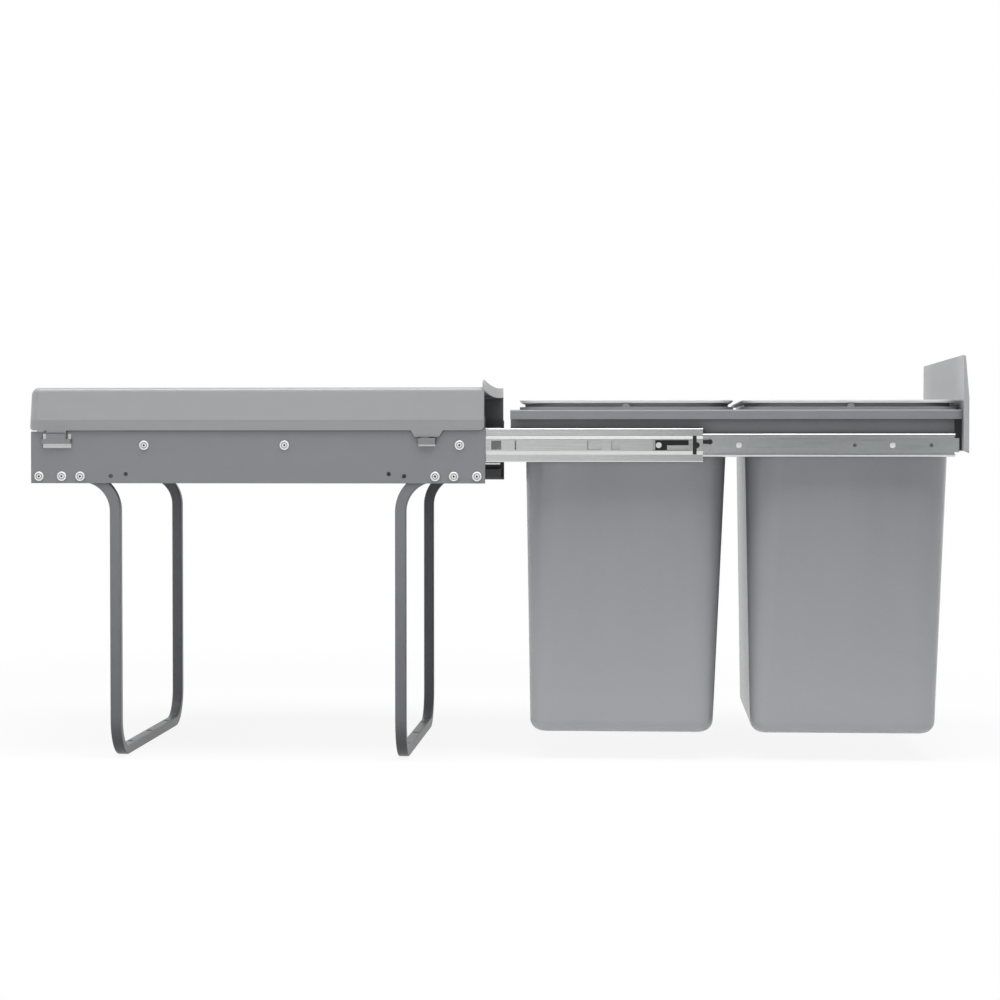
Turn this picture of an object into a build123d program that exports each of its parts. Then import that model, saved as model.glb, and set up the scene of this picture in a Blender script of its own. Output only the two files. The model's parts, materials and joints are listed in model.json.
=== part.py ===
from build123d import *
import os

os.makedirs("parts", exist_ok=True)

# Pull-out frame for two waste bins, shown pulled out to its stop.
# X points out of the cabinet, Y across it and Z up. The origin is the middle of the
# floor-fixing holes, on the cabinet floor. "left" is the side at -Y. Lengths in mm.

# Driving sizes of the chassis
chassis_length = 480.0
chassis_width = 338.0
plate_sheet = 1.5
plate_bottom = 291.0
plate_height = 70.0
rear_notch_width = 14.0
rear_notch_gap = 1.0
slide_rise = 40.0
overrun = 1.0
running_clearance = 0.05
assembly_gap = 0.3

# Legs
leg_inset = 89.0
leg_width = 11.6
leg_depth = 10.0
leg_wall = 1.2
leg_edge_radius = 1.6
leg_top_bend = 36.8
leg_foot_bend = 37.0
leg_arm_rise = 7.3
leg_arm_end_gap = 3.0
floor_hole_spacing = 190.0
floor_hole_radius = 2.6
countersink_radius = 4.2
countersink_depth = 1.1

# Rivets and side holes
rivet_head_radius = 5.0
rivet_head_height = 1.5
rivet_head_round = 0.9
rivet_shank_radius = 2.0
rivet_eye_radius = 1.2
rivet_eye_depth = 1.1
rivet_groove_inner_radius = 2.5
rivet_groove_outer_radius = 3.3
rivet_groove_depth = 0.5
leg_rivet_outer_inset = 8.6
leg_rivet_middle_inset = 32.8
leg_rivet_inner_inset = 52.4
slide_rivet_rear_inset = 120.5
slide_rivet_middle_offset = 29.3
slide_rivet_front_inset = 26.8
side_hole_radius = 2.3
side_hole_outer_rise = 7.5
side_hole_inner_rise = 9.7
side_hole_outer_spacing = 310.0
side_hole_inner_spacing = 278.0

# Rear cross rail
rail_sheet = 1.5
rear_rail_rise = 15.0
rear_rail_height = 38.0
rear_rail_flange = 8.0
rear_rail_flange_end_gap = 16.0

# Hood over the bins
hood_rear_overhang = 2.5
hood_rear_slant = 2.5
hood_front_gap = 1.0
hood_sheet = 1.5
hood_rise = 55.5
hood_height = 45.0
hood_side_gap = 0.5
hood_edge_radius = 5.0
hood_rear_radius = 9.0
hood_rear_skirt_radius = 6.0
hood_skirt_radius = 5.0
hood_lip_height = 11.0
hood_lip_rise = 8.0
hood_lip_sag = 3.5

# Lanced loops of the plates and the tongues of the hood in them
loop_sheet = 1.5
loop_gap = 0.2
loop_height = 6.7
loop_end = 2.0
front_loop_inset = 70.0
front_loop_length = 18.0
front_loop_drop = 8.0
front_slot_height = 2.0
front_tab_inset = 78.5
front_tab_width = 35.3
front_tab_slope = 4.8
front_tab_drop = 6.9
front_tongue_inset = 66.8
front_tongue_width = 8.1
front_tongue_drop = 13.0
rear_loop_inset = 12.0
rear_loop_length = 31.0
rear_loop_drop = 3.5
rear_loop_height = 10.4
rear_slot_height = 4.5
rear_relief_width = 5.0
rear_relief_height = 5.5
rear_tongue_inset = 5.0
rear_tongue_drop = 12.5

# Telescopic slides: three nested channels on each side
slide_depth = 12.7
cabinet_member_front_gap = 4.0
cabinet_member_rear_gap = 6.0
cabinet_member_height = 45.0
cabinet_member_sheet = 1.2
cabinet_member_reach = 12.4
cabinet_member_lip = 2.5
runner_shortfall = 20.0
runner_front_gap = 14.7
runner_height = 35.2
runner_sheet = 1.2
runner_back = 3.2
runner_waist = 1.8
runner_reach = 11.9
runner_step_outer = 9.6
runner_step_inner = 6.4
member_bend = 1.2
drawer_member_height = 24.4
drawer_member_sheet = 1.2
drawer_member_reach = 6.0
drawer_member_lip = 3.0
drawer_member_tab = 4.8
drawer_member_tab_height = 14.6
travel_beyond_member = 20.0

# Windows in the runner web, as start and length from the runner's front end
window_height = 9.4
lever_window_start = 51.7
lever_window_length = 39.5
lever_window_height = 11.1
small_window_start = 95.0
small_window_length = 9.2
large_window_start = 120.2
large_window_length = 15.2
narrow_window_start = 195.5
narrow_window_length = 1.8
rear_window_start = 220.2
rear_window_length = 11.3

# Balls and their cages
outer_ball_radius = 1.8
inner_ball_radius = 2.0
cage_length = 150.0
cage_sheet = 0.8
cage_width = 6.0
cage_ball_gap = 0.15
outer_cage_offset = -5.5
inner_cage_offset = 3.5
balls_per_row = 6
ball_row_share = 0.8

# Black end stop at the runner's front end
stop_thickness = 1.3
stop_head_inset = 10.6
stop_head_width = 4.0
stop_head_height = 19.2
stop_head_proud = 0.3
stop_hub_radius = 3.2
stop_body_height = 8.0
stop_finger_reach = 7.4
stop_finger_height = 4.0
stop_finger_rise = 3.4
stop_tip_radius = 2.6

# Release lever of the drawer member
lever_inset = 45.8
lever_thickness = 2.2
lever_near_gap = 0.3
lever_base_back = 3.6
lever_base_front = 8.5
lever_base_height = 10.2
lever_arm_length = 31.0
lever_arm_thickness = 5.2
lever_arm_top = 5.1
lever_boss_radius = 3.4
lever_pin_radius = 1.8
lever_pin_head_radius = 3.0
lever_pin_head_height = 0.8

# Tray that carries the bins
tray_rear_gap = 9.8
tray_side_sheet = 1.5
tray_wall_front_gap = 7.4
tray_wall_drop = 11.0
tray_rise = 37.0
tray_lip_inset = 6.0
tray_lip_height = 10.0
tray_bend = 1.2
cross_rail_height = 34.0
cross_rail_flange = 6.0
front_rail_flange = 4.0
screw_head_radius = 3.0
screw_head_height = 1.4
screw_shank_radius = 1.6
screw_rear_inset = 222.1
screw_front_inset = 63.5
slide_hole_radius = 1.9
slide_hole_rear_inset = 102.4
slide_hole_front_inset = 23.7

# Front panel, to which the cabinet door is fixed
panel_overhang = 1.0
panel_drop = 43.0
panel_flange_drop = 45.4
panel_rise = 56.0
panel_sheet = 1.5
panel_flange = 5.6
panel_flange_top = 1.8
panel_flange_knee_rise = 12.0
panel_corner_radius = 3.0
door_hole_inset = 50.0
door_hole_spacing_up = 16.0
door_hole_radius = 2.75
door_access_radius = 5.0
bracket_sheet = 2.0
bracket_length = 30.0
bracket_flange = 22.0
bracket_drop = 42.0
bracket_height = 34.0
panel_screw_radius = 2.0
panel_screw_head_radius = 4.0
panel_screw_head_height = 1.8
panel_screw_inset = 12.0
panel_screw_spacing = 20.0

# Bins and the liner rings on their rims
bin_gap = 8.5
bin_rear_gap = 8.7
bin_front_gap = 2.4
bin_end_overhang = 4.2
bin_side_gap = 4.3
bin_height = 347.0
bin_rim_rise = 7.0
bin_wall = 2.4
bin_rear_draft = 6.4
bin_front_draft = 16.5
bin_side_draft = 10.0
bin_top_corner = 44.0
bin_foot_corner = 18.0
bin_foot_radius = 13.0
flange_side_inset = 2.0
flange_thickness = 3.0
flange_corner = 26.0
ear_radius = 4.5
ear_reach = 11.5
ring_thickness = 3.0
ring_chamfer = 2.0
ring_corner = 28.0
ring_skirt_depth = 7.0
ring_skirt_wall = 1.5
ring_skirt_gap = 0.6

# Planes and lines that several pieces share
chassis_rear = -chassis_length / 2
chassis_front = chassis_length / 2
plate_outer = chassis_width / 2
plate_inner = plate_outer - plate_sheet
hood_outer = plate_outer + hood_side_gap + hood_sheet
hood_inner = plate_outer + hood_side_gap
hood_rear = chassis_rear - hood_rear_overhang
hood_front = chassis_front - hood_front_gap
tray_outer = plate_inner - slide_depth
tray_inner = tray_outer - tray_side_sheet
leg_centre = plate_inner - leg_depth / 2
leg_place = chassis_front - leg_inset
tray_lip_reach = plate_outer - tray_lip_inset
panel_width = chassis_width + 2 * panel_overhang
door_hole_spacing_across = panel_width - 2 * door_hole_inset
bin_width = 2 * (tray_inner - bin_side_gap)
flange_width = 2 * (tray_lip_reach - flange_side_inset)
cabinet_member_length = chassis_length - cabinet_member_front_gap - cabinet_member_rear_gap
runner_length = cabinet_member_length - runner_shortfall
drawer_member_length = cabinet_member_length
tray_travel = cabinet_member_length + travel_beyond_member
cabinet_member_front = chassis_front - cabinet_member_front_gap
drawer_member_front = cabinet_member_front + tray_travel
runner_front = cabinet_member_front - runner_front_gap + tray_travel / 2
lever_x = runner_front - lever_inset
outer_cage_middle = outer_cage_offset + tray_travel / 4
inner_cage_middle = inner_cage_offset + tray_travel * 3 / 4
tray_rear = drawer_member_front - drawer_member_length + tray_rear_gap
tray_front = drawer_member_front + tray_wall_front_gap
bins_length = tray_front - bin_front_gap - tray_rear - bin_rear_gap
flange_length = (bins_length - bin_gap) / 2
bin_length = flange_length - 2 * bin_end_overhang
bin_pitch = flange_length + bin_gap
rear_bin_middle = tray_rear + bin_rear_gap + flange_length / 2

# Heights that several pieces share
slide_height = plate_bottom + slide_rise
plate_top = plate_bottom + plate_height
leg_arm_height = plate_bottom + leg_arm_rise
side_hole_outer_height = plate_bottom + side_hole_outer_rise
side_hole_inner_height = plate_bottom + side_hole_inner_rise
rear_rail_bottom = plate_bottom + rear_rail_rise
rear_rail_top = rear_rail_bottom + rear_rail_height
hood_bottom = plate_bottom + hood_rise
hood_top = hood_bottom + hood_height
rear_notch_height = hood_bottom - rear_notch_gap
front_loop_top = hood_bottom - front_loop_drop
rear_loop_top = hood_bottom - rear_loop_drop
front_tab_bottom = hood_bottom - front_tab_drop
front_tongue_bottom = hood_bottom - front_tongue_drop
rear_tongue_bottom = hood_bottom - rear_tongue_drop
tray_top = slide_height + tray_rise
tray_wall_bottom = slide_height - tray_wall_drop
cross_rail_top = tray_top - tray_side_sheet - tray_bend
cross_rail_bottom = cross_rail_top - cross_rail_height
door_hole_height = (cross_rail_top + cross_rail_bottom) / 2
panel_bottom = tray_top - panel_drop
panel_flange_bottom = tray_top - panel_flange_drop
panel_flange_knee = tray_top + panel_flange_knee_rise
panel_top = tray_top + panel_rise
bracket_bottom = tray_top - bracket_drop
bracket_top = bracket_bottom + bracket_height
bin_rim_height = tray_top + bin_rim_rise
bin_bottom = bin_rim_height - bin_height


def block(x0, x1, y0, y1, z0, z1):
    low = (Align.MIN, Align.MIN, Align.MIN)
    return Pos(x0, y0, z0) * Box(x1 - x0, y1 - y0, z1 - z0, align=low)


def rod_y(x, y0, y1, z, radius):
    """A cylinder along Y from y0 to y1."""
    base = (Align.CENTER, Align.CENTER, Align.MIN)
    return Pos(x, y0, z) * Rot(-90, 0, 0) * Cylinder(radius, y1 - y0, align=base)


def rod_x(x0, x1, y, z, radius):
    """A cylinder along X from x0 to x1."""
    base = (Align.CENTER, Align.CENTER, Align.MIN)
    return Pos(x0, y, z) * Rot(0, 90, 0) * Cylinder(radius, x1 - x0, align=base)


def strip_face(points, sheet, bend):
    """A bent strip of sheet as a face; the points run along the side that sheet grows left from."""
    line = FilletPolyline(*points, radius=bend)
    return make_face(offset(line, amount=sheet, side=Side.LEFT).edges())


def along_x(face, x0, x1):
    """A face drawn in (Y, Z), drawn out along X from x0 to x1."""
    return extrude(Plane.YZ.offset(x0) * face, x1 - x0)


def rounded_plate(x_middle, length, width, corner, z0, z1):
    plate = Pos(x_middle, 0, z0) * extrude(RectangleRounded(length, width, corner), z1 - z0)
    return plate


def other_side(part):
    return mirror(part, about=Plane.XZ)


def save(part, name):
    solids = part.solids() if hasattr(part, "solids") else ShapeList(part)
    shape = solids[0] if len(solids) == 1 else Compound(children=list(solids))
    export_step(shape, "parts/" + name + ".step")


def save_pair(part, name):
    """Write a left-hand piece and its mirror image."""
    save(part, name + "_left")
    save(other_side(part), name + "_right")


def group(pieces):
    return Compound(children=[solid for piece in pieces for solid in piece.solids()])


# Side plates, with the loops that hold the hood
def plate_loop(x0, length, top, height, slot_height):
    x1 = x0 + length
    z0 = top - height
    outer = -plate_outer - hood_side_gap - hood_sheet - loop_gap - loop_sheet
    inner = outer + loop_sheet
    loop = block(x0, x1, outer, -plate_outer, z0, top)
    passage = block(x0 + loop_end, x1 - loop_end, inner, -plate_outer, z0 - overrun, top + overrun)
    slot = block(x0, x1, -plate_outer - overrun, -plate_inner + overrun, z0 - slot_height, z0)
    return loop - passage, slot


leg_rivet_insets = (leg_rivet_outer_inset, leg_rivet_middle_inset, leg_rivet_inner_inset)
leg_rivet_places = [chassis_rear + inset for inset in leg_rivet_insets]
leg_rivet_places += [chassis_front - inset for inset in leg_rivet_insets]
slide_rivet_places = [
    chassis_rear + slide_rivet_rear_inset, slide_rivet_middle_offset, chassis_front - slide_rivet_front_inset
]
side_hole_places = (
    (side_hole_outer_spacing / 2, side_hole_outer_height),
    (side_hole_inner_spacing / 2, side_hole_inner_height),
)


def make_side_plate():
    outline = [
        (chassis_rear, plate_bottom),
        (chassis_front, plate_bottom),
        (chassis_front, plate_top),
        (chassis_rear + rear_notch_width, plate_top),
        (chassis_rear + rear_notch_width, rear_notch_height),
        (chassis_rear, rear_notch_height),
    ]
    face = make_face(Polyline(*outline, close=True))
    plate = extrude(Plane.XZ.offset(plate_inner) * face, plate_sheet)
    front = plate_loop(
        chassis_front - front_loop_inset, front_loop_length, front_loop_top, loop_height, front_slot_height
    )
    rear = plate_loop(
        chassis_rear + rear_loop_inset, rear_loop_length, rear_loop_top, rear_loop_height, rear_slot_height
    )
    for loop, slot in (front, rear):
        plate = plate - slot + loop
    loop_x0 = chassis_rear + rear_loop_inset
    loop_x1 = loop_x0 + rear_loop_length
    for x0 in (loop_x0, loop_x1 - rear_relief_width):
        plate -= block(
            x0, x0 + rear_relief_width, -hood_outer - loop_gap - loop_sheet - overrun,
            -plate_inner + overrun, rear_loop_top - rear_relief_height, rear_loop_top,
        )
    far = -plate_outer - overrun
    near = -plate_inner + overrun
    hole_radius = rivet_shank_radius + running_clearance
    for x in leg_rivet_places:
        plate -= rod_y(x, far, near, leg_arm_height, hole_radius)
    for x in slide_rivet_places:
        plate -= rod_y(x, far, near, slide_height, hole_radius)
    for x, z in side_hole_places:
        plate -= rod_y(x, far, near, z, side_hole_radius)
        plate -= rod_y(-x, far, near, z, side_hole_radius)
    return plate


def make_rivet(x, z, grip):
    """A blind rivet with its head on the outside of the left plate."""
    head = rod_y(x, -plate_outer - rivet_head_height, -plate_outer, z, rivet_head_radius)
    outer_edge = head.edges().filter_by(GeomType.CIRCLE).sort_by(Axis.Y)[0]
    head = fillet(outer_edge, rivet_head_round)
    shank = rod_y(x, -plate_outer, -plate_outer + grip, z, rivet_shank_radius)
    mouth = -plate_outer - rivet_head_height
    eye = rod_y(x, mouth - overrun, mouth + rivet_eye_depth, z, rivet_eye_radius)
    floor = mouth + rivet_groove_depth
    groove = rod_y(x, mouth - overrun, floor, z, rivet_groove_outer_radius)
    groove -= rod_y(x, mouth - 2 * overrun, floor + overrun, z, rivet_groove_inner_radius)
    return head + shank - eye - groove


# Bent tube legs
def tube_face(width, depth):
    outer = RectangleRounded(width, depth, leg_edge_radius)
    inner_radius = leg_edge_radius - leg_wall
    inner = RectangleRounded(width - 2 * leg_wall, depth - 2 * leg_wall, inner_radius)
    return outer - inner


def make_leg(toward):
    """A leg whose arms run toward the chassis end: toward is -1 for the rear leg, 1 for the front."""
    x = toward * leg_place
    arm_start = x + toward * leg_top_bend
    arm_end = toward * (chassis_front - leg_arm_end_gap)
    bend_bottom = leg_arm_height - leg_top_bend
    foot_middle = leg_depth / 2
    foot_start = foot_middle + leg_foot_bend
    foot_side = leg_centre - leg_foot_bend
    face = tube_face(leg_width, leg_depth)
    arm_plane = Plane(
        origin=(arm_start, -leg_centre, leg_arm_height), x_dir=(0, 0, 1), z_dir=(toward, 0, 0)
    )
    arm = extrude(arm_plane * face, abs(arm_end - arm_start))
    top_axis = Axis((arm_start, -leg_centre, bend_bottom), (0, toward, 0))
    level = Plane(origin=(x, -leg_centre, bend_bottom), x_dir=(1, 0, 0), z_dir=(0, 0, 1))
    top_bend = revolve(level * face, axis=top_axis, revolution_arc=90)
    upright_plane = Plane(origin=(x, -leg_centre, foot_start), x_dir=(1, 0, 0), z_dir=(0, 0, 1))
    upright = extrude(upright_plane * face, bend_bottom - foot_start)
    foot_axis = Axis((x, -foot_side, foot_start), (1, 0, 0))
    foot_bend = revolve(upright_plane * face, axis=foot_axis, revolution_arc=90)
    bar_plane = Plane(origin=(x, 0, foot_middle), x_dir=(1, 0, 0), z_dir=(0, -1, 0))
    bar = extrude(bar_plane * face, foot_side)
    half = arm + top_bend + upright + foot_bend + bar
    leg = half + other_side(half)
    for y in (-floor_hole_spacing / 2, 0, floor_hole_spacing / 2):
        hole = Cylinder(floor_hole_radius, leg_depth + 2 * overrun)
        leg -= Pos(x, y, foot_middle) * hole
        sink = Cone(floor_hole_radius, countersink_radius, countersink_depth)
        leg -= Pos(x, y, leg_depth - countersink_depth / 2) * sink
    hole_radius = rivet_shank_radius + running_clearance
    wall_in = -plate_inner + leg_wall + overrun
    for place in leg_rivet_places:
        if place * toward > 0:
            for side in (1, -1):
                hole = rod_y(place, -plate_inner - overrun, wall_in, leg_arm_height, hole_radius)
                leg -= hole if side > 0 else other_side(hole)
    return leg


# Rear cross rail between the plates
def make_rear_rail():
    middle = (rear_rail_bottom + rear_rail_top) / 2
    web = block(
        chassis_rear, chassis_rear + rail_sheet, -plate_inner, plate_inner,
        rear_rail_bottom, rear_rail_top,
    )
    half_flange = tray_outer - rear_rail_flange_end_gap
    rail = web
    for z in (rear_rail_bottom, rear_rail_top - rail_sheet):
        rail += block(
            chassis_rear, chassis_rear + rear_rail_flange, -half_flange, half_flange, z, z + rail_sheet
        )
    for side in (-1, 1):
        y0, y1 = sorted((side * plate_inner, side * (plate_inner - rail_sheet)))
        rail += block(
            chassis_rear, chassis_rear + cabinet_member_rear_gap - assembly_gap, y0, y1,
            middle - rear_rail_flange, middle + rear_rail_flange,
        )
    return rail


# Hood
def hood_tab(x0, x1, top, bottom, slope):
    points = [(x0, top), (x1, top), (x1 - slope, bottom), (x0 + slope, bottom)]
    face = make_face(Polyline(*points, close=True))
    return extrude(Plane.XZ.offset(hood_inner) * face, hood_sheet)


def hood_block(inset, beyond):
    """The hood's outer form, or with an inset its cavity, which runs beyond the open sides."""
    rear = hood_rear + inset
    top = hood_top - inset
    points = [
        (hood_front + beyond, hood_bottom - beyond), (hood_front + beyond, top),
        (rear + hood_rear_slant, top), (rear, hood_bottom - beyond),
    ]
    half = hood_outer - inset
    shape = extrude(Plane.XZ.offset(-half) * make_face(Polyline(*points, close=True)), 2 * half)
    shape = fillet(shape.edges().filter_by(Axis.X).group_by(Axis.Z)[-1], hood_edge_radius - inset)
    rear_edge = shape.edges().filter_by(Axis.Y).group_by(Axis.Z)[-1].sort_by(Axis.X)[0]
    return fillet(rear_edge, hood_rear_radius - inset)


def make_hood():
    shell = hood_block(0, 0)
    cavity = hood_block(hood_sheet, overrun)
    hood = shell - cavity
    lower_corners = hood.edges().filter_by(Axis.Y).group_by(Axis.Z)[0].group_by(Axis.X)[-1]
    hood = fillet(lower_corners, hood_skirt_radius)
    side_view = block(
        hood_rear, hood_front, -hood_outer - overrun, hood_outer + overrun, hood_bottom,
        hood_top + overrun,
    )
    rear_corner = side_view.edges().filter_by(Axis.Y).group_by(Axis.Z)[0].sort_by(Axis.X)[0]
    hood = hood & fillet(rear_corner, hood_rear_skirt_radius)
    tab_x0 = chassis_front - front_tab_inset
    tab_top = hood_bottom + hood_sheet
    tongue_x0 = chassis_front - front_tongue_inset
    rear_x0 = chassis_rear + rear_loop_inset + rear_tongue_inset
    rear_x1 = chassis_rear + rear_loop_inset + rear_loop_length - rear_tongue_inset
    tabs = hood_tab(tab_x0, tab_x0 + front_tab_width, tab_top, front_tab_bottom, front_tab_slope)
    tabs += hood_tab(tongue_x0, tongue_x0 + front_tongue_width, tab_top, front_tongue_bottom, 0)
    tabs += hood_tab(rear_x0, rear_x1, tab_top, rear_tongue_bottom, 0)
    hood = hood + tabs + other_side(tabs)
    lip_top = hood_top + hood_lip_rise
    lip_bottom = lip_top - hood_lip_height
    lip_lines = [
        ThreePointArc((-hood_outer, lip_bottom), (0, lip_bottom - hood_lip_sag), (hood_outer, lip_bottom)),
        Line((hood_outer, lip_bottom), (hood_outer, lip_top)),
        ThreePointArc((hood_outer, lip_top), (0, lip_top - hood_lip_sag), (-hood_outer, lip_top)),
        Line((-hood_outer, lip_top), (-hood_outer, lip_bottom)),
    ]
    lip = along_x(make_face(lip_lines), hood_front - hood_sheet, hood_front)
    lip = fillet(lip.edges().filter_by(Axis.X).group_by(Axis.Z)[-1], hood_edge_radius)
    return hood + lip


# Slide members, drawn as (Y, Z) from the plate's inner face and the slide's axis
def slide_points(points):
    return [(-plate_inner + depth, slide_height + height) for depth, height in points]


def make_cabinet_member():
    half = cabinet_member_height / 2
    reach = cabinet_member_reach
    points = [
        (reach, half - cabinet_member_lip), (reach, half), (0, half),
        (0, -half), (reach, -half), (reach, -half + cabinet_member_lip),
    ]
    face = strip_face(slide_points(points), cabinet_member_sheet, member_bend + cabinet_member_sheet / 2)
    rear = cabinet_member_front - cabinet_member_length
    member = along_x(face, rear, cabinet_member_front)
    for x in slide_rivet_places:
        member -= rod_y(
            x, -plate_inner - overrun, -plate_inner + cabinet_member_sheet + overrun, slide_height,
            rivet_shank_radius + running_clearance,
        )
    return member


def web_window(front_inset, length, height):
    x0 = runner_front - front_inset
    y0 = -plate_inner + runner_waist - overrun
    y1 = -plate_inner + runner_back + runner_sheet + overrun
    half = height / 2
    return block(x0, x0 + length, y0, y1, slide_height - half, slide_height + half)


runner_windows = (
    (lever_window_start, lever_window_length, lever_window_height),
    (small_window_start, small_window_length, window_height),
    (large_window_start, large_window_length, window_height),
    (narrow_window_start, narrow_window_length, window_height),
    (rear_window_start, rear_window_length, window_height),
    (stop_head_inset + running_clearance, stop_head_width + 2 * running_clearance,
     stop_head_height + 2 * running_clearance),
)


def make_runner():
    half = runner_height / 2
    points = [
        (runner_reach, half), (runner_back, half), (runner_back, runner_step_outer),
        (runner_waist, runner_step_inner), (runner_waist, -runner_step_inner),
        (runner_back, -runner_step_outer), (runner_back, -half), (runner_reach, -half),
    ]
    face = strip_face(slide_points(points), runner_sheet, member_bend)
    runner = along_x(face, runner_front - runner_length, runner_front)
    for front_inset, length, height in runner_windows:
        runner -= web_window(front_inset, length, height)
    return runner


def make_end_stop():
    """A black moulding behind the runner web: its head stands through the web, its finger past the end."""
    web_face = -plate_inner + runner_back + runner_sheet
    inner = web_face + stop_thickness
    x0 = runner_front - stop_head_inset
    x1 = x0 + stop_head_width
    half = stop_head_height / 2
    web_outer = -plate_inner + runner_waist
    head = block(x0, x1, web_outer - stop_head_proud, inner, slide_height - half, slide_height + half)
    hub = rod_y(x1, web_outer - stop_head_proud, web_outer, slide_height, stop_hub_radius)
    body_half = stop_body_height / 2
    body = block(x0, runner_front, web_face, inner, slide_height - body_half, slide_height + body_half)
    finger_z = slide_height + stop_finger_rise
    tip_x = runner_front + stop_finger_reach
    finger_half = stop_finger_height / 2
    finger = block(
        runner_front - stop_tip_radius, tip_x, web_face, inner, finger_z - finger_half,
        finger_z + finger_half,
    )
    tip = rod_y(tip_x, web_face, inner, finger_z, stop_tip_radius)
    return head + hub + body + finger + tip


def make_drawer_member():
    half = drawer_member_height / 2
    points = [
        (drawer_member_reach, half - drawer_member_lip), (drawer_member_reach, half),
        (slide_depth, half), (slide_depth, -half), (drawer_member_reach, -half),
        (drawer_member_reach, -half + drawer_member_lip),
    ]
    points.reverse()
    face = strip_face(
        slide_points(points), drawer_member_sheet, member_bend + drawer_member_sheet / 2
    )
    rear = drawer_member_front - drawer_member_length
    member = along_x(face, rear, drawer_member_front)
    web_outer = -tray_outer - drawer_member_sheet
    tab_half = drawer_member_tab_height / 2
    member += block(
        drawer_member_front, drawer_member_front + drawer_member_tab, web_outer, -tray_outer,
        slide_height - tab_half, slide_height + tab_half,
    )
    far = web_outer - overrun
    near = -tray_outer + overrun
    for inset in (screw_rear_inset, screw_front_inset):
        hole_radius = screw_shank_radius + running_clearance
        member -= rod_y(drawer_member_front - inset, far, near, slide_height, hole_radius)
    for inset in (slide_hole_rear_inset, slide_hole_front_inset):
        member -= rod_y(drawer_member_front - inset, far, near, slide_height, slide_hole_radius)
    member -= rod_y(lever_x, far, near, slide_height, lever_pin_radius + running_clearance)
    return member


# Balls in their cages, above and below the runner and the drawer member
outer_ball_height = (cabinet_member_height / 2 - cabinet_member_sheet + runner_height / 2) / 2
inner_ball_height = (runner_height / 2 - runner_sheet + drawer_member_height / 2) / 2
ball_depth = (runner_back + cabinet_member_reach) / 2


def ball_places(middle):
    row = cage_length * ball_row_share
    return [middle - row / 2 + row * number / (balls_per_row - 1) for number in range(balls_per_row)]


def make_cage(middle, height, ball_radius):
    """Two strips of one cage, each with a row of holes for its balls."""
    strips = []
    y = -plate_inner + ball_depth
    for side in (-1, 1):
        z = slide_height + side * height
        strip = Pos(middle, y, z) * Box(cage_length, cage_width, cage_sheet)
        for x in ball_places(middle):
            strip -= Pos(x, y, z) * Cylinder(ball_radius + cage_ball_gap, cage_sheet + 2 * overrun)
        strips.append(strip)
    return group(strips)


def make_balls(middle, height, ball_radius):
    y = -plate_inner + ball_depth
    places = [(x, side) for side in (-1, 1) for x in ball_places(middle)]
    return group([Pos(x, y, slide_height + side * height) * Sphere(ball_radius) for x, side in places])


# Release lever and the pin it turns on
lever_outer = -plate_inner + drawer_member_reach + lever_near_gap
drawer_web = -tray_outer - drawer_member_sheet


def make_lever():
    y0 = lever_outer
    y1 = lever_outer + lever_thickness
    half = lever_base_height / 2
    base = block(
        lever_x - lever_base_back, lever_x + lever_base_front, y0, y1, slide_height - half,
        slide_height + half,
    )
    arm_top = slide_height + lever_arm_top
    arm = block(lever_x, lever_x + lever_arm_length, y0, y1, arm_top - lever_arm_thickness, arm_top)
    boss = rod_y(lever_x, y0, drawer_web - assembly_gap, slide_height, lever_boss_radius)
    hole = rod_y(
        lever_x, y0 - overrun, drawer_web + overrun, slide_height, lever_pin_radius + running_clearance
    )
    return base + arm + boss - hole


def make_lever_pin():
    head_face = lever_outer - assembly_gap / 2
    pin = rod_y(lever_x, head_face, -tray_outer, slide_height, lever_pin_radius)
    head = rod_y(
        lever_x, head_face - lever_pin_head_height, head_face, slide_height, lever_pin_head_radius
    )
    return pin + head


def make_slide_screw(inset):
    x = drawer_member_front - inset
    head = rod_y(x, drawer_web - screw_head_height, drawer_web, slide_height, screw_head_radius)
    rim = head.edges().filter_by(GeomType.CIRCLE).sort_by(Axis.Y)[0]
    head = fillet(rim, screw_head_height / 2)
    shank = rod_y(x, drawer_web, -tray_inner, slide_height, screw_shank_radius)
    return head + shank


# Holes that the front rail, the panel and its brackets share
door_hole_places = [
    (side * door_hole_spacing_across / 2, door_hole_height + level * door_hole_spacing_up / 2)
    for side in (-1, 1)
    for level in (-1, 1)
]
panel_screw_side = tray_inner - bracket_sheet - panel_screw_inset
panel_screw_places = [
    (side * panel_screw_side, door_hole_height + level * panel_screw_spacing / 2)
    for side in (-1, 1)
    for level in (-1, 1)
]


# Tray rails
def make_tray_side():
    points = [
        (-tray_lip_reach, tray_top - tray_lip_height),
        (-tray_lip_reach, tray_top),
        (-tray_inner, tray_top),
        (-tray_inner, tray_wall_bottom),
    ]
    points.reverse()
    face = strip_face(points, tray_side_sheet, tray_bend + tray_side_sheet / 2)
    side = along_x(face, tray_rear, tray_front)
    wall_front = tray_front - tray_wall_front_gap
    side -= block(
        wall_front, tray_front + overrun, -tray_outer - tray_bend, -tray_inner + overrun,
        tray_wall_bottom - overrun, tray_top - tray_lip_height,
    )
    far = -tray_outer - overrun
    near = -tray_inner + overrun
    for inset in (screw_rear_inset, screw_front_inset):
        hole_radius = screw_shank_radius + running_clearance
        side -= rod_y(drawer_member_front - inset, far, near, slide_height, hole_radius)
    return side


def make_cross_rail(x0, toward, half, flange_depth):
    """A channel across the tray, web at x0, with its flanges toward +X or -X."""
    web_x0, web_x1 = sorted((x0, x0 + toward * rail_sheet))
    rail = block(web_x0, web_x1, -half, half, cross_rail_bottom, cross_rail_top)
    flange_x0, flange_x1 = sorted((x0, x0 + toward * flange_depth))
    for z in (cross_rail_bottom, cross_rail_top - rail_sheet):
        rail += block(flange_x0, flange_x1, -half, half, z, z + rail_sheet)
    return rail


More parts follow.
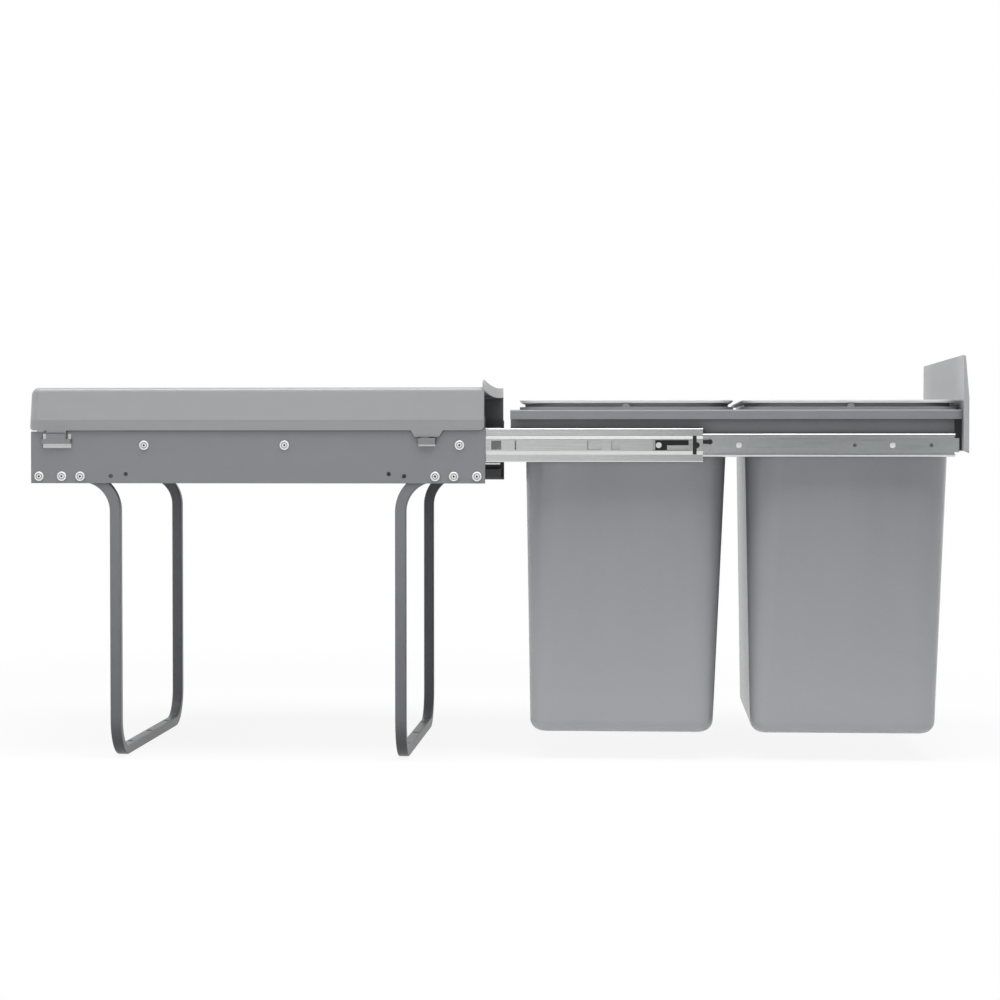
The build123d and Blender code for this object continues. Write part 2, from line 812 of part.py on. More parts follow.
def make_front_rail():
    """The front cross rail lies between the panel brackets and lets a driver reach the door screws."""
    web = tray_front - bracket_sheet - assembly_gap
    rail = make_cross_rail(web, -1, tray_inner - bracket_sheet, front_rail_flange)
    for y, z in door_hole_places:
        rail -= rod_x(web - rail_sheet - overrun, web + overrun, y, z, door_access_radius)
    return rail


# Front panel, its brackets and screws
def make_front_panel():
    half = panel_width / 2
    sheet = block(tray_front, tray_front + panel_sheet, -half, half, panel_bottom, panel_top)
    outline = [
        (tray_front, panel_bottom),
        (tray_front + panel_flange, panel_flange_bottom),
        (tray_front + panel_flange, panel_flange_knee),
        (tray_front + panel_flange_top, panel_top),
        (tray_front, panel_top),
    ]
    flange_face = make_face(Polyline(*outline, close=True))
    flange = extrude(Plane.XZ.offset(half - panel_sheet) * flange_face, panel_sheet)
    panel = sheet + flange + other_side(flange)
    rounded = block(
        tray_front, tray_front + panel_flange, -half, half, panel_flange_bottom, panel_top
    )
    corners = rounded.edges().filter_by(Axis.X).group_by(Axis.Z)[-1]
    panel = panel & fillet(corners, panel_corner_radius)
    for y, z in door_hole_places:
        panel -= rod_x(tray_front - overrun, tray_front + panel_sheet + overrun, y, z, door_hole_radius)
    for y, z in panel_screw_places:
        panel -= rod_x(
            tray_front - overrun, tray_front + panel_sheet + overrun, y, z,
            panel_screw_radius + running_clearance,
        )
    return panel


def make_bracket():
    """A black angle inside the left tray rail that carries the panel."""
    leg = block(
        tray_front - bracket_length, tray_front, -tray_inner, -tray_inner + bracket_sheet,
        bracket_bottom, bracket_top,
    )
    flange = block(
        tray_front - bracket_sheet, tray_front, -tray_inner, -tray_inner + bracket_flange,
        bracket_bottom, bracket_top,
    )
    bracket = leg + flange
    for y, z in panel_screw_places:
        if y < 0:
            bracket -= rod_x(
                tray_front - bracket_sheet - overrun, tray_front + overrun, y, z,
                panel_screw_radius + running_clearance,
            )
    return bracket


def make_panel_screw(y, z):
    back = tray_front - bracket_sheet
    shank = rod_x(back, tray_front + panel_sheet, y, z, panel_screw_radius)
    head = rod_x(
        tray_front + panel_sheet, tray_front + panel_sheet + panel_screw_head_height, y, z,
        panel_screw_head_radius,
    )
    rim = head.edges().filter_by(GeomType.CIRCLE).sort_by(Axis.X)[-1]
    return shank + fillet(rim, panel_screw_head_height / 2)


# Bins
def bin_section(x_middle, inset, corner, z, drop_share):
    """The bin's outline at a height; drop_share is 0 at the rim and 1 at the foot."""
    rear = -bin_length / 2 + bin_rear_draft * drop_share + inset
    front = bin_length / 2 - bin_front_draft * drop_share - inset
    width = bin_width - 2 * (bin_side_draft * drop_share + inset)
    middle = x_middle + (rear + front) / 2
    return Pos(middle, 0, z) * RectangleRounded(front - rear, width, corner - inset)


def bin_body(x_middle, inset, foot, rim):
    body = loft(
        [
            bin_section(x_middle, inset, bin_foot_corner, foot, 1),
            bin_section(x_middle, inset, bin_top_corner, rim, 0),
        ],
        ruled=True,
    )
    foot_edges = body.edges().group_by(Axis.Z)[0]
    return fillet(foot_edges, bin_foot_radius - inset)


def make_bin(x_middle):
    """The bin's body, and its rim with the flange that hangs on the tray."""
    outer = bin_body(x_middle, 0, bin_bottom, bin_rim_height)
    inner = bin_body(x_middle, bin_wall, bin_bottom + bin_wall, bin_rim_height)
    flange_bottom = tray_top
    flange = rounded_plate(
        x_middle, flange_length, flange_width, flange_corner, flange_bottom,
        flange_bottom + flange_thickness,
    )
    ear_z = flange_bottom + flange_thickness
    ears = []
    for side in (-1, 1):
        inner_y = side * (bin_width / 2 - bin_wall)
        y0, y1 = sorted((inner_y, side * (bin_width / 2 + ear_reach)))
        ear = rod_y(x_middle, y0, y1, ear_z, ear_radius - ring_skirt_gap)
        floor = block(
            x_middle - ear_radius - overrun, x_middle + ear_radius + overrun, y0 - overrun, y1 + overrun,
            ear_z - ear_radius - overrun, ear_z,
        )
        ears.append(ear - floor)
    whole = outer + flange + ears[0] + ears[1] - inner
    seat = Plane.XY.offset(tray_top)
    return split(whole, bisect_by=seat, keep=Keep.BOTTOM), split(whole, bisect_by=seat, keep=Keep.TOP)


def make_ring(x_middle):
    top = bin_rim_height + ring_thickness
    plate = rounded_plate(x_middle, flange_length, flange_width, ring_corner, bin_rim_height, top)
    lower = plate.faces().sort_by(Axis.Z)[0].outer_wire().edges()
    plate = chamfer(lower, ring_chamfer)
    skirt_inset = bin_wall + ring_skirt_gap
    depth_share = ring_skirt_depth / (bin_rim_height - bin_bottom)
    skirt_bottom = bin_rim_height - ring_skirt_depth
    skirt = loft(
        [
            bin_section(x_middle, skirt_inset, bin_top_corner, skirt_bottom, depth_share),
            bin_section(x_middle, skirt_inset, bin_top_corner, bin_rim_height, 0),
        ],
        ruled=True,
    )
    mouth_inset = skirt_inset + ring_skirt_wall
    mouth_section = bin_section(x_middle, mouth_inset, bin_top_corner, 0, depth_share)
    mouth_height = ring_skirt_depth + ring_thickness + 2 * overrun
    mouth = Pos(0, 0, bin_rim_height - ring_skirt_depth - overrun) * extrude(mouth_section, mouth_height)
    return plate + skirt - mouth


def main():
    save_pair(make_side_plate(), "side_plate")
    leg_grip = plate_sheet + leg_wall
    leg_rivets = [make_rivet(x, leg_arm_height, leg_grip) for x in leg_rivet_places]
    save_pair(group(leg_rivets), "leg_rivets")
    member_grip = plate_sheet + cabinet_member_sheet
    slide_rivets = [make_rivet(x, slide_height, member_grip) for x in slide_rivet_places]
    save_pair(group(slide_rivets), "slide_rivets")
    save(make_leg(-1), "leg_rear")
    save(make_leg(1), "leg_front")
    save(make_rear_rail(), "rear_cross_rail")
    save(make_hood(), "hood")
    save_pair(make_cabinet_member(), "cabinet_member")
    save_pair(make_runner(), "runner")
    save_pair(make_end_stop(), "runner_end_stop")
    save_pair(make_cage(outer_cage_middle, outer_ball_height, outer_ball_radius), "outer_cage")
    save_pair(make_balls(outer_cage_middle, outer_ball_height, outer_ball_radius), "outer_balls")
    save_pair(make_cage(inner_cage_middle, inner_ball_height, inner_ball_radius), "inner_cage")
    save_pair(make_balls(inner_cage_middle, inner_ball_height, inner_ball_radius), "inner_balls")
    save_pair(make_drawer_member(), "drawer_member")
    save_pair(make_lever(), "release_lever")
    save_pair(make_lever_pin(), "lever_pin")
    screws = [make_slide_screw(inset) for inset in (screw_rear_inset, screw_front_inset)]
    save_pair(group(screws), "slide_screws")
    save_pair(make_tray_side(), "tray_side")
    middle_rail_web = rear_bin_middle + bin_pitch / 2 - cross_rail_flange / 2
    save(make_cross_rail(tray_rear, 1, tray_inner, cross_rail_flange), "tray_rear_rail")
    save(make_cross_rail(middle_rail_web, 1, tray_inner, cross_rail_flange), "tray_middle_rail")
    save(make_front_rail(), "tray_front_rail")
    save(make_front_panel(), "front_panel")
    save_pair(make_bracket(), "panel_bracket")
    save(group([make_panel_screw(y, z) for y, z in panel_screw_places]), "panel_screws")
    for name, x_middle in (("rear", rear_bin_middle), ("front", rear_bin_middle + bin_pitch)):
        body, rim = make_bin(x_middle)
        save(body, "bin_" + name)
        save(rim, "bin_rim_" + name)
        save(make_ring(x_middle), "liner_ring_" + name)


main()
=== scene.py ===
import json
import math

import bmesh
import bpy
from mathutils import Matrix, Vector


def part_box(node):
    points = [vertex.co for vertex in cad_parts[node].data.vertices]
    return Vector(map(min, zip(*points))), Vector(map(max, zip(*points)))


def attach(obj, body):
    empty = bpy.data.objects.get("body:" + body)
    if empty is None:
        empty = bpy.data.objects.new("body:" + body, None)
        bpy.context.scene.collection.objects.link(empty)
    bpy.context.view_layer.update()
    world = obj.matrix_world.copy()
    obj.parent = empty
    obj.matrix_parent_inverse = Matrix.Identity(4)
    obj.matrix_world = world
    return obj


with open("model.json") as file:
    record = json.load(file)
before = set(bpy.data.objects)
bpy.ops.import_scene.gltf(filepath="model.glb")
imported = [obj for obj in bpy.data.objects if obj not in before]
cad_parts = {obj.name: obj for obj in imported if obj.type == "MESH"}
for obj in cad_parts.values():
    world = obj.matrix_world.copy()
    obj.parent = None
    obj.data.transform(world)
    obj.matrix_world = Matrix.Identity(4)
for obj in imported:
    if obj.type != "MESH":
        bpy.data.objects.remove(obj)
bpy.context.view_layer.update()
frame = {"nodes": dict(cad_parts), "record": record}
print("frame loaded:", len(frame["nodes"]), "CAD nodes")


# Small helpers
def linearColour(hexColour):
    channels = [int(hexColour[i : i + 2], 16) / 255 for i in (1, 3, 5)]
    linear = [c / 12.92 if c <= 0.04045 else ((c + 0.055) / 1.055) ** 2.4 for c in channels]
    return (*linear, 1.0)


def setInputs(tree, node, inputs):
    # text is a colour, and a node stands for the first of its outputs that is in use
    for key, value in inputs.items():
        if isinstance(value, str):
            value = linearColour(value)
        if isinstance(value, bpy.types.Node):
            value = next(socket for socket in value.outputs if socket.enabled)
        if isinstance(value, bpy.types.NodeSocket):
            tree.links.new(value, node.inputs[key])
        else:
            node.inputs[key].default_value = value


def addNode(tree, kind, inputs=None, **settings):
    node = tree.nodes.new(kind)
    for key, value in settings.items():
        setattr(node, key, value)
    setInputs(tree, node, inputs or {})
    return node


def blankTree(owner):
    owner.use_nodes = True
    owner.node_tree.nodes.clear()
    return owner.node_tree


def startFinish(name):
    material = bpy.data.materials.new(name)
    tree = blankTree(material)
    place = addNode(tree, "ShaderNodeTexCoord").outputs["Object"]
    shader = addNode(tree, "ShaderNodeBsdfPrincipled")
    addNode(tree, "ShaderNodeOutputMaterial", {"Surface": shader})
    return material, tree, place, shader


def pattern(tree, place, cellSize, kind="ShaderNodeTexNoise", **inputs):
    # cellSize is one number or three, in mm, and Object coordinates are in metres
    sizes = cellSize if isinstance(cellSize, tuple) else (cellSize,) * 3
    cells = addNode(tree, "ShaderNodeMapping", {"Vector": place, "Scale": [1000 / size for size in sizes]})
    return addNode(tree, kind, {"Vector": cells, "Scale": 1.0, **inputs})


def tinted(tree, tone, tint, guide, span, most=1.0):
    # the tint covers the tone as the guide goes from the span's first value to its second
    share = addNode(
        tree, "ShaderNodeMapRange",
        {"Value": guide, "From Min": span[0], "From Max": span[1], "To Min": 0.0, "To Max": most},
    )
    return addNode(tree, "ShaderNodeMix", {0: share, 6: tone, 7: tint}, data_type="RGBA")


def unevenRoughness(tree, guide, values):
    glossiest = values["roughness"] - values["smoother"]
    dullest = values["roughness"] + values["rougher"]
    low, high = values["sheenSpan"]
    return addNode(
        tree, "ShaderNodeMapRange",
        {"Value": guide, "From Min": low, "From Max": high, "To Min": glossiest, "To Max": dullest},
    )


# Polyester powder coat on steel sheet: satin, with fine orange peel and a faint cloudiness, and
# painted shade that darkens the colour in deep recesses and under overhangs, where shade falls
powderValues = {
    "peelSize": 1.6,             # mm between the waves of the orange peel, drawn coarser than the real 0.8
    "peelHeight": 0.00004,       # m
    "peelStrength": 0.3,
    "cloudSize": 24.0,           # mm
    "cloudSpan": (0.2, 0.8),     # values of the noise between which the tone changes
    "grainSize": 0.5,            # mm
    "grainSpan": (0.62, 0.80),
    "grainShare": 0.10,
    "grainTint": "#D8D9DB",
    "edgeWidth": 0.0006,         # m, the rounding of the coated edge
    "paintedRecessShade": "#26272A",
    "recessReach": 0.40,         # m, how far off the walls of a recess still count
    "recessSpan": (0.86, 0.25),  # openness at which the painted shade starts to show, and shows most
    "recessShare": 0.92,         # how much of the painted shade shows in the deepest recess
    "creased": False,
    "creaseHeight": 0.3575,      # m, below which the hood's side leans in a little
    "creaseReach": 0.05,         # m
    "creaseSlope": 0.34,
    "ior": 1.5,
    "roughness": 0.38,
    "smoother": 0.02,            # less than the roughness where the surface is glossiest
    "rougher": 0.02,             # more than it where the surface is dullest
    "sheenSpan": (0.3, 0.7),     # values of the noise between which the gloss changes
}


def powderCoat(name, colour, cloudColour, **changes):
    values = powderValues | changes
    material, tree, place, shader = startFinish(name)
    cloud = pattern(tree, place, values["cloudSize"], Detail=3.0)
    grain = pattern(tree, place, values["grainSize"], Detail=1.0)
    peel = pattern(tree, place, values["peelSize"], Detail=1.5)
    # painted shade: ambient occlusion pulls the colour towards a dark shade colour in recesses
    openness = addNode(
        tree, "ShaderNodeAmbientOcclusion", {"Distance": values["recessReach"]}, samples=6
    ).outputs["AO"]
    tone = tinted(tree, colour, cloudColour, cloud, values["cloudSpan"])
    tone = tinted(tree, tone, values["grainTint"], grain, values["grainSpan"], values["grainShare"])
    tone = tinted(tree, tone, values["paintedRecessShade"], openness, values["recessSpan"], values["recessShare"])
    edge = addNode(tree, "ShaderNodeBevel", {"Radius": values["edgeWidth"]}, samples=4)
    height, strength = values["peelHeight"], values["peelStrength"]
    surface = addNode(
        tree, "ShaderNodeBump", {"Height": peel, "Distance": height, "Strength": strength, "Normal": edge}
    )
    if values["creased"]:
        level = addNode(tree, "ShaderNodeSeparateXYZ", {"Vector": place}).outputs["Z"]
        crease, reach = values["creaseHeight"], values["creaseReach"]
        foot = -reach * values["creaseSlope"]
        lean = addNode(
            tree, "ShaderNodeMapRange",
            {"Value": level, "From Min": crease - reach, "From Max": crease, "To Min": foot, "To Max": 0.0},
        )
        surface = addNode(
            tree, "ShaderNodeBump", {"Height": lean, "Distance": 1.0, "Strength": 1.0, "Normal": surface}
        )
    gloss, ior = unevenRoughness(tree, peel, values), values["ior"]
    setInputs(tree, shader, {"Base Color": tone, "Roughness": gloss, "Normal": surface, "IOR": ior})
    return material


# Hot-dip galvanised strip, roll-formed into the slides: bright, drawn lengthwise by the rolls,
# with a faint spangle and slightly duller streaks
zincValues = {
    "drawSize": (60.0, 1.1, 1.1),  # mm, length, width and height of one rolling streak
    "drawSpan": (0.3, 0.7),
    "drawHeight": 0.000001,        # m
    "drawStrength": 0.2,
    "spangleSize": 4.0,            # mm
    "spangleShare": 0.05,
    "spangleTint": "#9A9D9F",
    "roughness": 0.20,
    "smoother": 0.03,
    "rougher": 0.05,
    "sheenSpan": (0.2, 0.8),
}


def galvanisedStrip(name, colour, streakColour, **changes):
    values = zincValues | changes
    material, tree, place, shader = startFinish(name)
    streak = pattern(tree, place, values["drawSize"])
    spangle = pattern(tree, place, values["spangleSize"], "ShaderNodeTexVoronoi").outputs["Color"]
    flake = addNode(tree, "ShaderNodeSeparateColor", {"Color": spangle})
    tone = tinted(tree, colour, streakColour, streak, values["drawSpan"])
    tone = tinted(tree, tone, values["spangleTint"], flake, (0.0, 1.0), values["spangleShare"])
    surface = addNode(
        tree, "ShaderNodeBump",
        {"Height": streak, "Distance": values["drawHeight"], "Strength": values["drawStrength"]},
    )
    gloss = unevenRoughness(tree, streak, values)
    setInputs(tree, shader, {"Base Color": tone, "Metallic": 1.0, "Roughness": gloss, "Normal": surface})
    return material


# Small steel parts, all with fine marks: bare hardened balls like mirrors, and a pale, matt silver
# zinc-flake coat on the rivets, pins and screws
smallSteelValues = {
    "markSize": 0.6,         # mm
    "markSpan": (0.35, 0.7),
    "markShare": 0.5,
    "markTint": "#A9ABAC",
    "markHeight": 0.00001,   # m
    "markStrength": 0.3,
    "metal": 1.0,
    "roughness": 0.12,
    "smoother": 0.04,
    "rougher": 0.08,
    "sheenSpan": (0.3, 0.7),
}


def smallSteel(name, colour, **changes):
    values = smallSteelValues | changes
    material, tree, place, shader = startFinish(name)
    marks = pattern(tree, place, values["markSize"], Detail=3.0)
    tone = tinted(tree, colour, values["markTint"], marks, values["markSpan"], values["markShare"])
    surface = addNode(
        tree, "ShaderNodeBump",
        {"Height": marks, "Distance": values["markHeight"], "Strength": values["markStrength"]},
    )
    gloss, metal = unevenRoughness(tree, marks, values), values["metal"]
    setInputs(tree, shader, {"Base Color": tone, "Metallic": metal, "Roughness": gloss, "Normal": surface})
    return material


# Injection-moulded plastic: matt spark-eroded grain with a soft sheen and long faint flow marks
plasticValues = {
    "grainSize": 0.9,                 # mm, spark-eroded texture, drawn coarser than the real 0.3
    "grainHeight": 0.00003,           # m
    "grainStrength": 0.18,
    "flowSize": (45.0, 45.0, 260.0),  # mm, flow marks run up the wall from the gate in the foot
    "flowSpan": (0.35, 0.65),
    "footColour": None,
    "paintedLightFootSpan": (0.30, 0.06),         # m, heights where the painted paler foot starts, and where it is palest
    "ior": 1.49,
    "roughness": 0.42,
    "smoother": 0.04,
    "rougher": 0.06,
    "sheenSpan": (0.3, 0.7),
}


def mouldedPlastic(name, colour, flowColour, **changes):
    values = plasticValues | changes
    material, tree, place, shader = startFinish(name)
    flow = pattern(tree, place, values["flowSize"])
    grain = pattern(tree, place, values["grainSize"])
    tone = tinted(tree, colour, flowColour, flow, values["flowSpan"])
    # painted light and shade: paler towards the foot and darker up under the slides, where shade falls
    if values["footColour"]:
        level = addNode(tree, "ShaderNodeSeparateXYZ", {"Vector": place}).outputs["Z"]
        tone = tinted(tree, tone, values["footColour"], level, values["paintedLightFootSpan"])
    surface = addNode(
        tree, "ShaderNodeBump",
        {"Height": grain, "Distance": values["grainHeight"], "Strength": values["grainStrength"]},
    )
    gloss, ior = unevenRoughness(tree, grain, values), values["ior"]
    setInputs(tree, shader, {"Base Color": tone, "Roughness": gloss, "Normal": surface, "IOR": ior})
    return material


finishes = {
    "chassis_coat": powderCoat("powderCoatMidGrey", "#7E7F83", "#7B7C80"),
    "hood_coat": powderCoat("powderCoatPaleGrey", "#9A9B9D", "#98999B", roughness=0.30, creased=True),
    "leg_coat": powderCoat("powderCoatTubeGrey", "#737478", "#6F7074"),
    "tray_coat": powderCoat("powderCoatTrayGrey", "#818286", "#7C7D81"),
    "panel_coat": powderCoat("powderCoatPanelGrey", "#A8A9AB", "#A2A3A5", recessShare=0.3),
    "bracket_coat": powderCoat("cathodicDipBlack", "#1E1F21", "#242527", roughness=0.45),
    "slide_zinc": galvanisedStrip("galvanisedSlideStrip", "#DCDEDC", "#D7D9D8"),
    "cage_steel": galvanisedStrip("coldRolledCageStrip", "#A9ABAB", "#9D9F9F", roughness=0.40),
    "ball_steel": smallSteel("hardenedBallSteel", "#DADBDC"),
    "rivet_zinc": smallSteel("zincFlakeRivetSteel", "#F4F4F3", roughness=0.34, metal=0.35),
    "black_plastic": mouldedPlastic("blackAcetalMoulding", "#0F0F10", "#131314"),
    "bin_plastic": mouldedPlastic(
        "greyPolypropyleneBin", "#86878B", "#828387", roughness=0.22, footColour="#98999C"
    ),
    "ring_plastic": mouldedPlastic("paleGreyPolypropyleneRing", "#E2E3E4", "#DEDFE0", roughness=0.34),
}
for piece in frame["record"]["subparts"]:
    node = frame["nodes"][piece["node"]]
    for materialSlot in node.material_slots:
        materialSlot.material = finishes[piece["material_slot"]]
print("finishes on the CAD nodes:", len(finishes))


# Blind rivets: painted shade in the eye, the pulled mandrel's stub made black and a dark ring laid in the
# groove round it, both standing in for the shade there
rivetValues = {
    "rows": {
        "leg_rivets_": (-0.2314, -0.2072, -0.1876, 0.1876, 0.2072, 0.2314),
        "slide_rivets_": (-0.1195, 0.0293, 0.2132),
    },
    "stubRadius": 0.00118,
    "stubTipShare": 0.8,        # the tip's radius over the foot's
    "stubDepth": 0.0002,        # below the head's outer face
    "stubLength": 0.0008,
    "grooveInner": 0.00255,
    "grooveOuter": 0.00325,
    "grooveDepth": 0.00042,
    "grooveThickness": 0.00008,
    "segments": 28,
}


def rivetHeads():
    for side, sideName in ((-1, "left"), (1, "right")):
        for row, places in rivetValues["rows"].items():
            low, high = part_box(row + sideName)
            face = low.y if side < 0 else high.y
            for x in places:
                yield Vector((x, face, (low.z + high.z) / 2)), side


def sunkInto(head, side, depth):
    # a place on a rivet's axis, with +Z of the new shape turned outwards
    turn = Matrix.Rotation(-side * math.pi / 2, 4, "X")
    return Matrix.Translation(head - Vector((0, side * depth, 0))) @ turn


def addStub(stubs, head, side):
    radius, length = rivetValues["stubRadius"], rivetValues["stubLength"]
    bmesh.ops.create_cone(
        stubs, cap_ends=True, segments=rivetValues["segments"], radius1=radius,
        radius2=radius * rivetValues["stubTipShare"], depth=length,
        matrix=sunkInto(head, side, rivetValues["stubDepth"] + length / 2),
    )


# a dark ring of painted shade laid on the groove's floor round the eye
def addShadeRing(shadeRings, head, side):
    sunk = sunkInto(head, side, rivetValues["grooveDepth"])
    outer = bmesh.ops.create_circle(
        shadeRings, segments=rivetValues["segments"], radius=rivetValues["grooveOuter"], matrix=sunk
    )["verts"]
    edges = list({edge for vert in outer for edge in vert.link_edges})
    grown = bmesh.ops.extrude_edge_only(shadeRings, edges=edges)["geom"]
    inner = [item for item in grown if isinstance(item, bmesh.types.BMVert)]
    share = rivetValues["grooveInner"] / rivetValues["grooveOuter"]
    middle = Matrix.Translation(-sunk.translation)
    bmesh.ops.scale(shadeRings, vec=(share, 1, share), space=middle, verts=inner)


def meshPiece(name, shape, material, body):
    bmesh.ops.recalc_face_normals(shape, faces=shape.faces)
    mesh = bpy.data.meshes.new(name)
    shape.to_mesh(mesh)
    shape.free()
    mesh.materials.append(material)
    piece = bpy.data.objects.new(name, mesh)
    bpy.context.collection.objects.link(piece)
    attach(piece, body)


def makeRivetEyes():
    stubs, shadeRings = bmesh.new(), bmesh.new()
    for head, side in rivetHeads():
        addStub(stubs, head, side)
        addShadeRing(shadeRings, head, side)
    bmesh.ops.solidify(shadeRings, geom=list(shadeRings.faces), thickness=rivetValues["grooveThickness"])
    # painted shade: a dark ring in each groove, and the stubs in black, for the shade in the rivet's eye
    grooveShade = smallSteel("paintedShadeInRivetGroove", "#3A3B3D", roughness=0.5, metal=0.2)
    meshPiece("rivetMandrelStubs", stubs, finishes["black_plastic"], "chassis")
    meshPiece("rivetGrooveShadeRings", shadeRings, grooveShade, "chassis")


makeRivetEyes()
print("rivet stubs and grooves made")


# Rays that show the background: the camera's, and those off metal or through glass
def showingRays(tree):
    rays = addNode(tree, "ShaderNodeLightPath").outputs
    direct = addNode(
        tree, "ShaderNodeMath", {0: rays["Is Camera Ray"], 1: rays["Is Glossy Ray"]}, operation="MAXIMUM"
    )
    return addNode(
        tree, "ShaderNodeMath", {0: direct, 1: rays["Is Transmission Ray"]}, operation="MAXIMUM"
    )


# Floor, white to the camera and with the object's shadow in it
floorValues = {
    "size": 60.0,
    "drop": 0.0005,         # m below the feet
    "paint": "#F3F3F3",
    "shadowShare": 0.11,    # share of the floor's look that takes light and shadow
    "fadeFrom": 0.7,        # m from the middle, past which the shadow's share falls
    "fadeTo": 1.3,
}


def makeFloor():
    bpy.ops.mesh.primitive_plane_add(size=floorValues["size"], location=(0, 0, -floorValues["drop"]))
    floor = bpy.context.object
    floor.name = "studioFloor"
    material = bpy.data.materials.new("studioWhite")
    tree = blankTree(material)
    glow = addNode(tree, "ShaderNodeEmission", {"Color": "#FFFFFF", "Strength": 1.0})
    paint = addNode(tree, "ShaderNodeBsdfDiffuse", {"Color": floorValues["paint"]})
    place = addNode(tree, "ShaderNodeTexCoord").outputs["Object"]
    offMiddle = addNode(tree, "ShaderNodeVectorMath", {0: place}, operation="LENGTH").outputs["Value"]
    plain = 1 - floorValues["shadowShare"]
    near, far = floorValues["fadeFrom"], floorValues["fadeTo"]
    glowShare = addNode(
        tree, "ShaderNodeMapRange",
        {"Value": offMiddle, "From Min": near, "From Max": far, "To Min": plain, "To Max": 1.0},
    )
    share = addNode(tree, "ShaderNodeMath", {0: showingRays(tree), 1: glowShare}, operation="MULTIPLY")
    mixed = addNode(tree, "ShaderNodeMixShader", {0: share, 1: paint, 2: glow})
    addNode(tree, "ShaderNodeOutputMaterial", {"Surface": mixed})
    floor.data.materials.append(material)


makeFloor()


# Card behind the camera, seen only by reflections: a pale strip level with the slides, dull
# opposite their middle, between dark bands that draw the dark lines along the bright metal's ridges
cardValues = {
    "place": (0.3, -5.0, 0.9),
    "width": 8.0,
    "height": 2.4,
    "paleStrip": "#E6E8E8",
    "dullStrip": "#6C7074",
    "darkBand": "#3C3E40",
    "dullMiddle": 0.094,            # share of the width, from the card's middle
    "dullSpan": (0.0425, 0.085),    # shares of the width off it, between which the strip turns pale
    "stripMiddle": -0.235,          # share of the height, from the card's middle
    "stripSpan": (0.1575, 0.21),    # shares of the height off it, between which the card turns dark
}


def distanceFrom(tree, along, middle):
    shifted = addNode(tree, "ShaderNodeMath", {0: along, 1: middle}, operation="SUBTRACT")
    return addNode(tree, "ShaderNodeMath", {0: shifted}, operation="ABSOLUTE")


def makeCard():
    bpy.ops.mesh.primitive_plane_add(size=1.0, location=cardValues["place"], rotation=(math.pi / 2, 0, 0))
    card = bpy.context.object
    card.name = "reflectionCard"
    card.scale = (cardValues["width"], cardValues["height"], 1)
    card.visible_camera = False
    card.visible_diffuse = False
    card.visible_shadow = False
    material = bpy.data.materials.new("reflectionCard")
    tree = blankTree(material)
    place = addNode(tree, "ShaderNodeTexCoord").outputs["Object"]
    axes = addNode(tree, "ShaderNodeSeparateXYZ", {"Vector": place}).outputs
    aside = distanceFrom(tree, axes["X"], cardValues["dullMiddle"])
    aloft = distanceFrom(tree, axes["Y"], cardValues["stripMiddle"])
    tone = tinted(tree, cardValues["dullStrip"], cardValues["paleStrip"], aside, cardValues["dullSpan"])
    tone = tinted(tree, tone, cardValues["darkBand"], aloft, cardValues["stripSpan"])
    glow = addNode(tree, "ShaderNodeEmission", {"Color": tone, "Strength": 1.0})
    addNode(tree, "ShaderNodeOutputMaterial", {"Surface": glow})
    card.data.materials.append(material)


makeCard()


# World: white where it is seen, plain fill light elsewhere
worldValues = {"fill": 0.12}


def makeWorld():
    world = bpy.data.worlds.new("studioWorld")
    bpy.context.scene.world = world
    tree = blankTree(world)
    fill = addNode(tree, "ShaderNodeBackground", {"Color": "#FFFFFF", "Strength": worldValues["fill"]})
    white = addNode(tree, "ShaderNodeBackground", {"Color": "#FFFFFF", "Strength": 1.0})
    mixed = addNode(tree, "ShaderNodeMixShader", {0: showingRays(tree), 1: fill, 2: white})
    addNode(tree, "ShaderNodeOutputWorld", {"Surface": mixed})


makeWorld()


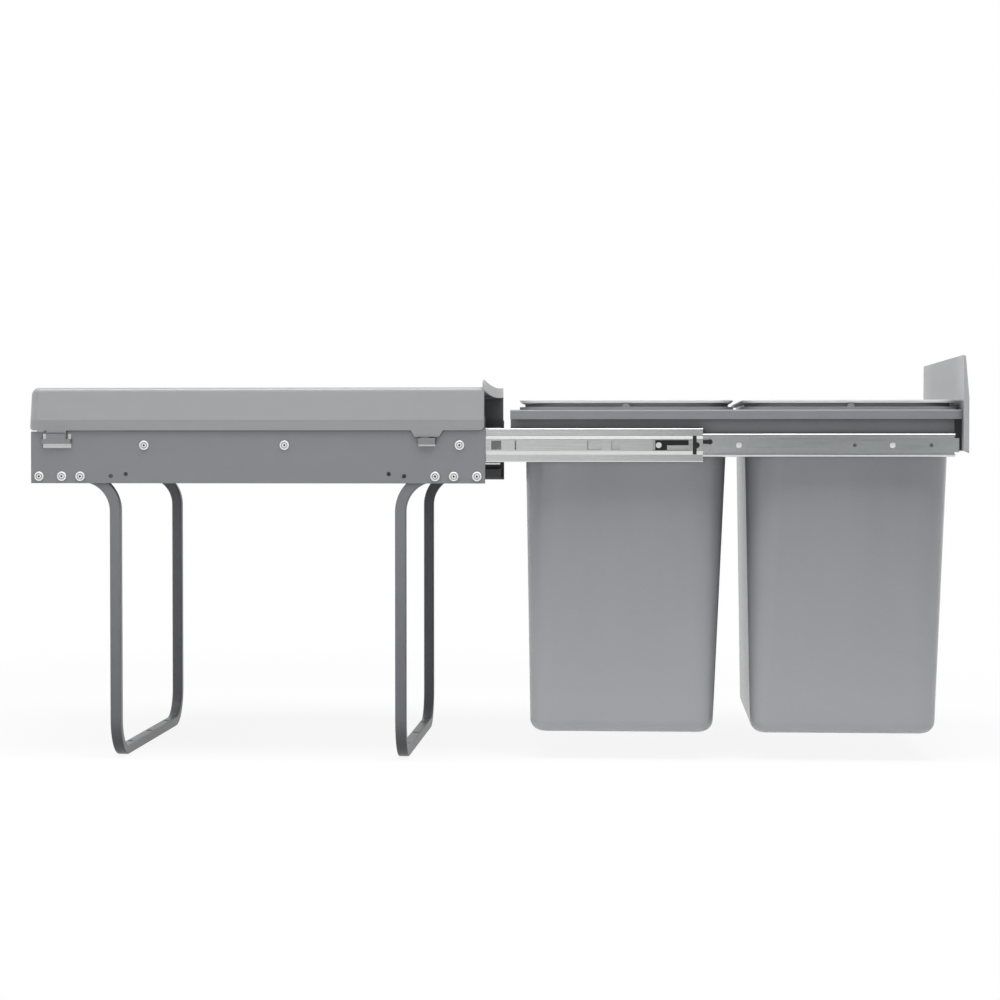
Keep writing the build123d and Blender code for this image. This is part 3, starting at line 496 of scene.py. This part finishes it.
# Lamps: a wide softbox overhead and slightly in front, one beside the camera, and weaker ones
# behind and at both ends that keep the other sides readable. Sizes and places are in metres, power
# in watts, and only a mirrored lamp shows in reflections
lampValues = {
    "overhead": {
        "place": (0.25, -0.55, 2.1), "aim": (0.25, -0.1, 0.3),
        "size": (2.6, 1.0), "power": 54.0, "mirrored": True,
    },
    "front": {
        "place": (-0.3, -3.4, 0.45), "aim": (0.25, 0, 0.15),
        "size": (2.6, 0.8), "power": 35.0, "mirrored": False,
    },
    "back": {
        "place": (0.25, 3.4, 0.7), "aim": (0.25, 0, 0.2),
        "size": (2.6, 1.0), "power": 30.0, "mirrored": False,
    },
    "cabinetEnd": {
        "place": (-3.2, 0.3, 0.7), "aim": (0.25, 0, 0.2),
        "size": (1.6, 1.0), "power": 22.0, "mirrored": False,
    },
    "doorEnd": {
        "place": (3.7, 0.3, 0.7), "aim": (0.25, 0, 0.2),
        "size": (1.6, 1.0), "power": 22.0, "mirrored": False,
    },
}


def makeLamp(name, place, aim, size, power, mirrored):
    data = bpy.data.lights.new(name, "AREA")
    data.shape = "RECTANGLE"
    data.size, data.size_y = size
    data.energy = power
    lamp = bpy.data.objects.new(name, data)
    bpy.context.collection.objects.link(lamp)
    lamp.location = place
    lamp.rotation_mode = "QUATERNION"
    lamp.rotation_quaternion = (Vector(aim) - Vector(place)).to_track_quat("-Z", "Y")
    lamp.visible_glossy = mirrored


for lampName, lamp in lampValues.items():
    makeLamp(lampName + "Softbox", **lamp)
print("stage, world and lamps made")


# Camera, level with the slides and a little beyond the middle of the frame
cameraValues = {
    "place": (0.4011, -2.5690, 0.3259),
    "yaw": 3.4712,           # degrees to the left
    "pitch": 1.2388,         # degrees down
    "sensorWidth": 36.0,     # mm
    "focalShare": 2.308,     # focal length over the sensor's width
    "clip": (0.05, 100.0),   # m
}


def makeCamera():
    data = bpy.data.cameras.new("photoCamera")
    data.sensor_width = cameraValues["sensorWidth"]
    data.lens = cameraValues["sensorWidth"] * cameraValues["focalShare"]
    data.clip_start, data.clip_end = cameraValues["clip"]
    camera = bpy.data.objects.new("photoCamera", data)
    bpy.context.collection.objects.link(camera)
    camera.location = cameraValues["place"]
    yaw, pitch = math.radians(cameraValues["yaw"]), math.radians(cameraValues["pitch"])
    look = Vector((-math.sin(yaw) * math.cos(pitch), math.cos(yaw) * math.cos(pitch), -math.sin(pitch)))
    camera.rotation_mode = "QUATERNION"
    camera.rotation_quaternion = look.to_track_quat("-Z", "Y")
    bpy.context.scene.camera = camera


makeCamera()
bpy.context.scene.view_settings.view_transform = "Standard"
print("camera placed")
